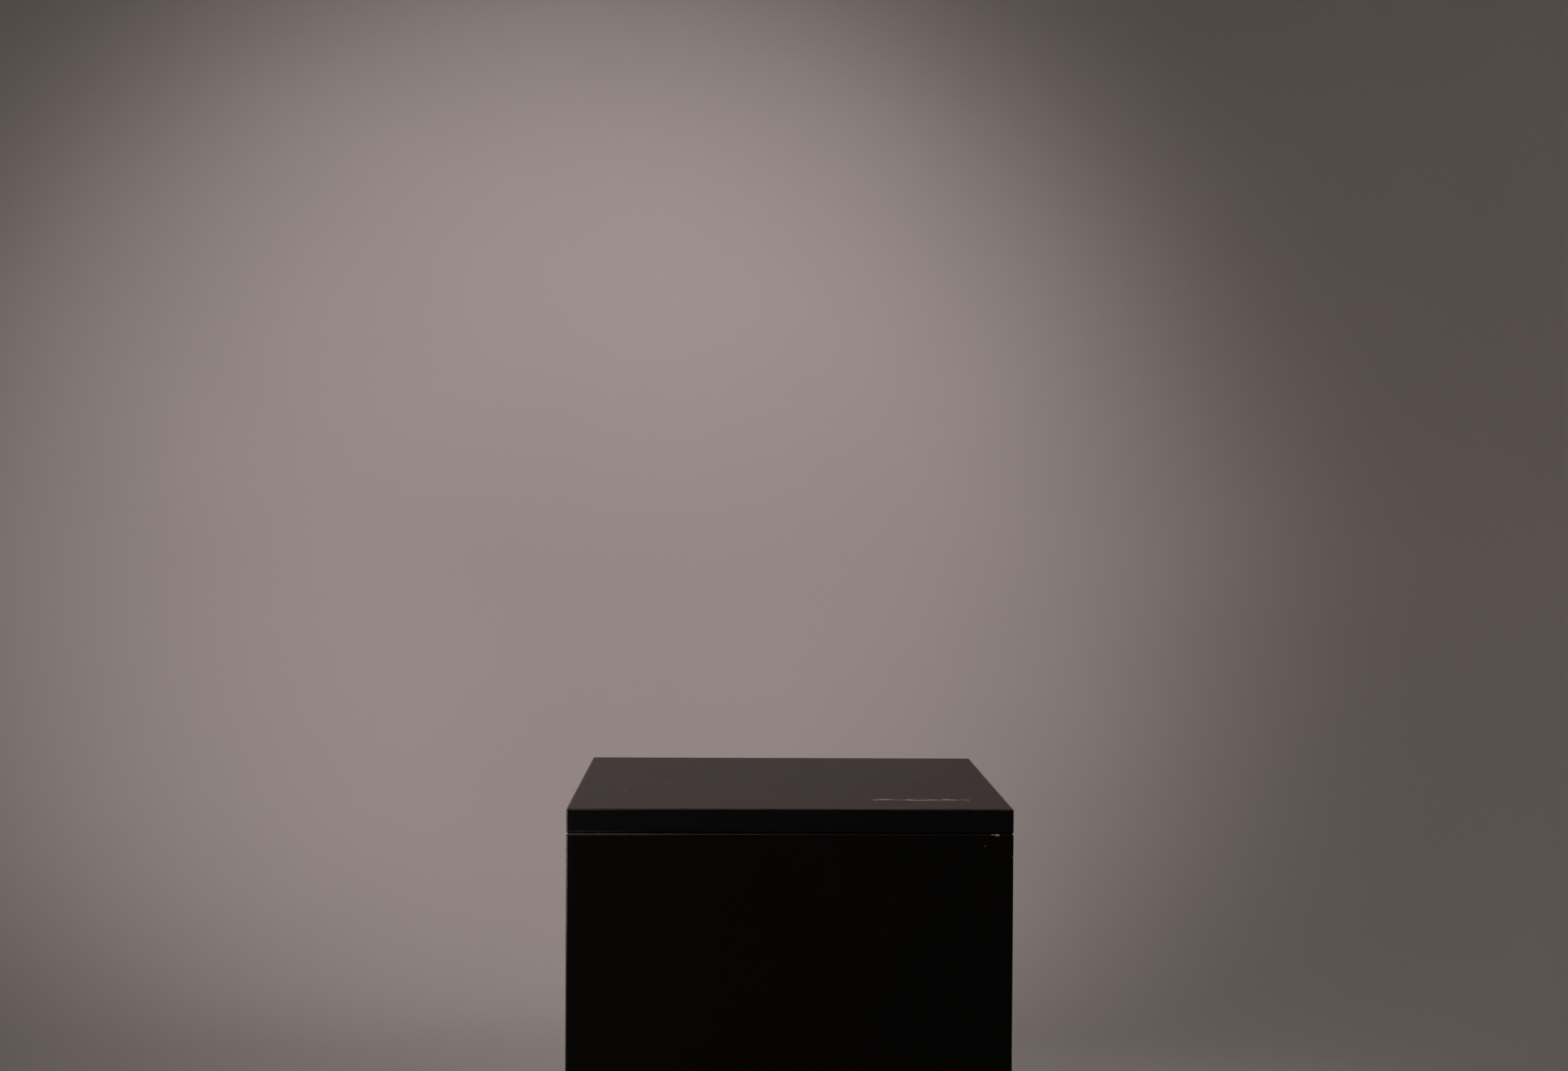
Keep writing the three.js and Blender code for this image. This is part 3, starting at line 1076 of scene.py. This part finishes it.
def base_board():
    bm = eased_block(BASE_LOW, BASE_HIGH, 0.5 * MM, 2)
    board = loose_object(bm, "base_board", RAW_BOARD)
    bores = bmesh.new()
    for x, y in foot_places().values():
        outline = [(0, -5 * MM), (NUT_BORE, -5 * MM), (NUT_BORE, 25 * MM), (0, 25 * MM)]
        bore = turned(outline, ROUND_SIDES)
        add_to(bores, bore, Vector((x, y, BASE_LOW.z)))
    carve(board, [loose_object(bores, "bore_tool", RAW_BOARD), screw_holes(BASE_SCREWS)])
    smooth(board)
    join_frame(board, "carcass", "base_panel")


# ================ feet

def foot_places():
    """The middle of each foot, by corner."""
    places = {}
    for corner in CORNERS:
        low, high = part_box(f"foot_pad_{corner}")
        places[corner] = ((low.x + high.x) / 2, (low.y + high.y) / 2)
    return places


def pad_shape():
    """A moulded pad with a hollow underside, and a socket that takes the stud's pin."""
    outline = scaled([
        (0, 0.8), (13.6, 0.8), (14.3, 0.6), (14.6, 0.15), (15.0, 0),
        (18.0, 0), (19.0, 0.25), (19.7, 0.9), (20.0, 1.9), (19.9, 2.8), (19.4, 3.5), (18.3, 4.1),
        (13.4, 6.3), (10.8, 7.6), (9.7, 8.5), (9.15, 9.5), (9.0, 10.6), (9.0, 11.3), (8.8, 11.8),
        (8.3, 12.0), (4.8, 12.0), (4.4, 11.8), (4.3, 11.4), (4.3, 4.7), (0, 4.7),
    ])
    pad = loose_object(turned(outline, ROUND_SIDES), "pad_shape", NYLON)
    smooth(pad, 35)
    return pad


def stem_shape():
    """An M10 stud with a hexagon collar, a pin that snaps into the pad, and a key socket in its top."""
    low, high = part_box("foot_stem_front_left")
    collar_low, collar_high = 12.3 * MM, 17.7 * MM
    rod = threaded_rod(
        core=4.15 * MM, crest=4.98 * MM, pitch=1.5 * MM,
        low=collar_high - 1 * MM, high=high.z, sides=STUD_SIDES, rows=8,
    )
    stem = loose_object(rod, "stem_shape", ZINC)
    pin_outline = [
        (0, low.z), (3.4 * MM, low.z), (4 * MM, low.z + 0.8 * MM), (4 * MM, 9 * MM), (3.7 * MM, 9.3 * MM),
        (3.7 * MM, 10.2 * MM), (4 * MM, 10.5 * MM), (4 * MM, 14 * MM), (0, 14 * MM),
    ]
    pin = loose_object(turned(pin_outline, STUD_SIDES), "pin_tool", ZINC)
    collar = loose_object(prism(hexagon(17 * MM), collar_low, collar_high), "collar_tool", ZINC)
    dome = scaled([(0, 12.3), (8.5, 12.3), (9.9, 13.1), (9.9, 16.9), (8.5, 17.7), (0, 17.7)])
    carve(collar, [loose_object(turned(dome, ROUND_SIDES), "dome_tool", ZINC)], "INTERSECT")
    carve(stem, [pin, collar], "UNION")
    key = loose_object(prism(hexagon(6 * MM), high.z - 8 * MM, high.z + 1 * MM), "key_tool", ZINC)
    carve(stem, [key])
    smooth(stem, 34)
    return stem


def nut_shape():
    """A tee nut: a thin flange whose notches are where its prongs were folded up, and a barrel."""
    low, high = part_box("tee_nut_front_left")
    flange = 12.5 * MM
    thick = 1.7 * MM
    bore = 5.3 * MM
    outline = [
        (bore + 0.4 * MM, low.z), (flange - 0.4 * MM, low.z), (flange, low.z + 0.4 * MM),
        (flange, low.z + thick - 0.2 * MM), (flange - 0.2 * MM, low.z + thick), (6.4 * MM, low.z + thick),
        (6 * MM, low.z + thick + 0.5 * MM), (6 * MM, high.z - 0.3 * MM), (5.8 * MM, high.z),
        (bore + 0.1 * MM, high.z), (bore, high.z - 0.3 * MM), (bore, low.z + 0.4 * MM),
    ]
    nut = loose_object(ring(outline, ROUND_SIDES), "nut_shape", ZINC)
    notches = bmesh.new()
    for turns in range(4):
        gap = rectangle(-1.6 * MM, 1.6 * MM, 9.6 * MM, 14 * MM)
        notch = prism(gap, low.z - 1 * MM, low.z + 3 * MM)
        spin_mesh(notch, turns)
        add_to(notches, notch)
    carve(nut, [loose_object(notches, "notch_tool", ZINC)])
    smooth(nut, 35)
    return nut


def feet():
    pad, stem, nut = pad_shape(), stem_shape(), nut_shape()
    for index, (corner, (x, y)) in enumerate(foot_places().items()):
        shift = Vector((x, y, 0))
        moulding = place_copy(pad, f"glide_{corner}", shift)
        join_frame(moulding, f"pad_{corner}", f"foot_pad_{corner}")
        stud = place_copy(stem, f"stud_{corner}", shift)
        join_frame(stud, f"stem_{corner}", f"foot_stem_{corner}")
        insert = place_copy(nut, f"insert_{corner}", shift, spin=0.35 * index)
        join_frame(insert, "carcass", f"tee_nut_{corner}")
    for shape in (pad, stem, nut):
        drop(shape)


# ================ stage, light and camera

STAGE_FLAT = 3.3  # radius of the flat floor
STAGE_COVE = 1.1  # radius of the curve between floor and wall
STAGE_TOP = 4.6
STAGE_SPLIT = -0.25  # in front of this the stage is not reflected and bounces no light
STAGE_SIDES = 128


def backdrop_paint():
    surface = Surface("backdrop_paint")
    clouds = surface.noise(1.4, detail=2)
    grit = surface.noise(6 * MM, detail=2)
    colour = surface.tint(BACKDROP, clouds.ramp(0.3, 0.7, 0.97, 1.03))
    return surface.finish(
        colour,
        grit.ramp(0.3, 0.7, 0.85, 0.95),
        heights=((grit, 0.1 * MM),),
        Specular_IOR_Level=0.2,
    )


def stage():
    """A pale floor that curves up into a wall all round, in a back and a front part."""
    outline = [(0.0, 0.0)]
    outline += [(STAGE_FLAT * k / 6, 0.0) for k in range(1, 7)]
    for k in range(1, 17):
        angle = math.pi / 2 * k / 16
        outline.append((STAGE_FLAT + STAGE_COVE * math.sin(angle), STAGE_COVE * (1 - math.cos(angle))))
    rise = STAGE_TOP - STAGE_COVE
    outline += [(STAGE_FLAT + STAGE_COVE, STAGE_COVE + rise * k / 4) for k in range(1, 5)]
    whole = turned_sheet(outline, STAGE_SIDES)
    paint = backdrop_paint()
    for name, normal in (("studio_back", (0, -1, 0)), ("studio_front", (0, 1, 0))):
        bm = whole.copy()
        bmesh.ops.bisect_plane(
            bm, geom=everything(bm), plane_co=(0, STAGE_SPLIT, 0), plane_no=normal, clear_outer=True
        )
        part = loose_object(bm, name, paint)
        for polygon in part.data.polygons:
            polygon.use_smooth = True
        if name == "studio_front":
            part.visible_glossy = False
            part.visible_diffuse = False
    whole.free()


def turned_sheet(outline, sides):
    """An open sheet turned about Z from an outline that starts on the axis."""
    bm = bmesh.new()
    centre = bm.verts.new((0, 0, outline[0][1]))
    rings = [circle(bm, radius, z, sides, start=0.5) for radius, z in outline[1:]]
    for k in range(sides):
        after = (k + 1) % sides
        bm.faces.new((centre, rings[0][k], rings[0][after]))
        for inner, outer in zip(rings, rings[1:]):
            bm.faces.new((inner[k], outer[k], outer[after], inner[after]))
    return bm


def lamp(name, kind, power, colour, place, target, **settings):
    """A light at a place, turned towards a target, that the camera doesn't see."""
    data = bpy.data.lights.new(name, kind)
    data.energy = power
    data.color = colour
    for key, value in settings.items():
        setattr(data, key, value)
    thing = linked(name, data)
    thing.location = place
    thing.rotation_euler = (Vector(target) - Vector(place)).to_track_quat("-Z", "Y").to_euler()
    thing.visible_camera = False
    return thing


WARM_LIGHT = (1.0, 0.915, 0.905)
WHITE_LIGHT = (1.0, 0.98, 0.96)
PANEL_LIGHT = (1.0, 0.88, 0.80)

WALL_WASHES = {  # direction from the plinth, power in watts, cone in degrees
    "behind": ((-0.11, 1.0), 166, 66),
    "left": ((-1.0, -0.05), 55, 100),
    "right": ((1.0, -0.05), 36, 100),
    "front": ((0.1, -1.0), 190, 120),
}


def lights():
    """Washes on the wall, soft light from above, and a key and a warm panel for the front arrises."""
    for name, ((x, y), power, cone) in WALL_WASHES.items():
        lamp(
            f"wash_{name}", "SPOT", power, WARM_LIGHT, (x, y, 3.0), (4.4 * x, 4.4 * y, 1.1),
            spot_size=math.radians(cone), spot_blend=1.0, shadow_soft_size=0.3,
        )
    for name, side, power in (("left", -1, 22), ("right", 1, 16)):
        lamp(
            f"soft_{name}", "AREA", power, WHITE_LIGHT, (2.1 * side, 0.0, 2.7), (0.3 * side, 0.0, 0.0),
            shape="DISK", size=1.3, spread=math.radians(105),
        )
    lamp(
        "key", "AREA", 1.7, WHITE_LIGHT, (-0.30, -0.8, 2.25), (-0.15, -0.2, 0.98),
        shape="DISK", size=0.16,
    )
    lamp(
        "panel", "AREA", 12, PANEL_LIGHT, (-2.0, -1.0, 1.15), (-0.2, -0.2, 0.95),
        shape="RECTANGLE", size=1.1, size_y=1.3,
    )


def world():
    """A faint cool fill from all round."""
    background = bpy.data.worlds.new("studio_world")
    background.use_nodes = True
    inputs = background.node_tree.nodes["Background"].inputs
    inputs["Color"].default_value = (0.9, 0.95, 1.0, 1.0)
    inputs["Strength"].default_value = 0.008
    bpy.context.scene.world = background


CAMERA_PLACE = (-0.0510, -2.2805, 1.2831)
CAMERA_YAW = math.radians(1.207)
CAMERA_PITCH = math.radians(1.076)  # downwards
CAMERA_ROLL = math.radians(0.325)
CAMERA_LENS = 53.66  # on a sensor 36 mm wide


def camera():
    """The photographer's place: a little left of the middle, above the top."""
    east, north = math.sin(CAMERA_YAW), math.cos(CAMERA_YAW)
    level = math.cos(CAMERA_PITCH)
    forward = Vector((east * level, north * level, -math.sin(CAMERA_PITCH)))
    across = Vector((north, -east, 0))
    above = across.cross(forward)
    right = across * math.cos(CAMERA_ROLL) + above * math.sin(CAMERA_ROLL)
    up = above * math.cos(CAMERA_ROLL) - across * math.sin(CAMERA_ROLL)
    data = bpy.data.cameras.new("camera")
    data.sensor_width = 36
    data.sensor_fit = "HORIZONTAL"
    data.lens = CAMERA_LENS
    data.clip_start = 0.05
    data.clip_end = 50
    thing = linked("camera", data)
    turn = Matrix((right, up, -forward)).transposed().to_4x4()
    thing.matrix_world = Matrix.Translation(CAMERA_PLACE) @ turn
    bpy.context.scene.camera = thing


camera()
stage()
lights()
world()
bpy.context.scene.view_settings.view_transform = "Standard"

lid_board()
wall_boards()
battens()
base_board()
place_screws(CLEAT_SCREWS)
place_screws(BASE_SCREWS)
feet()
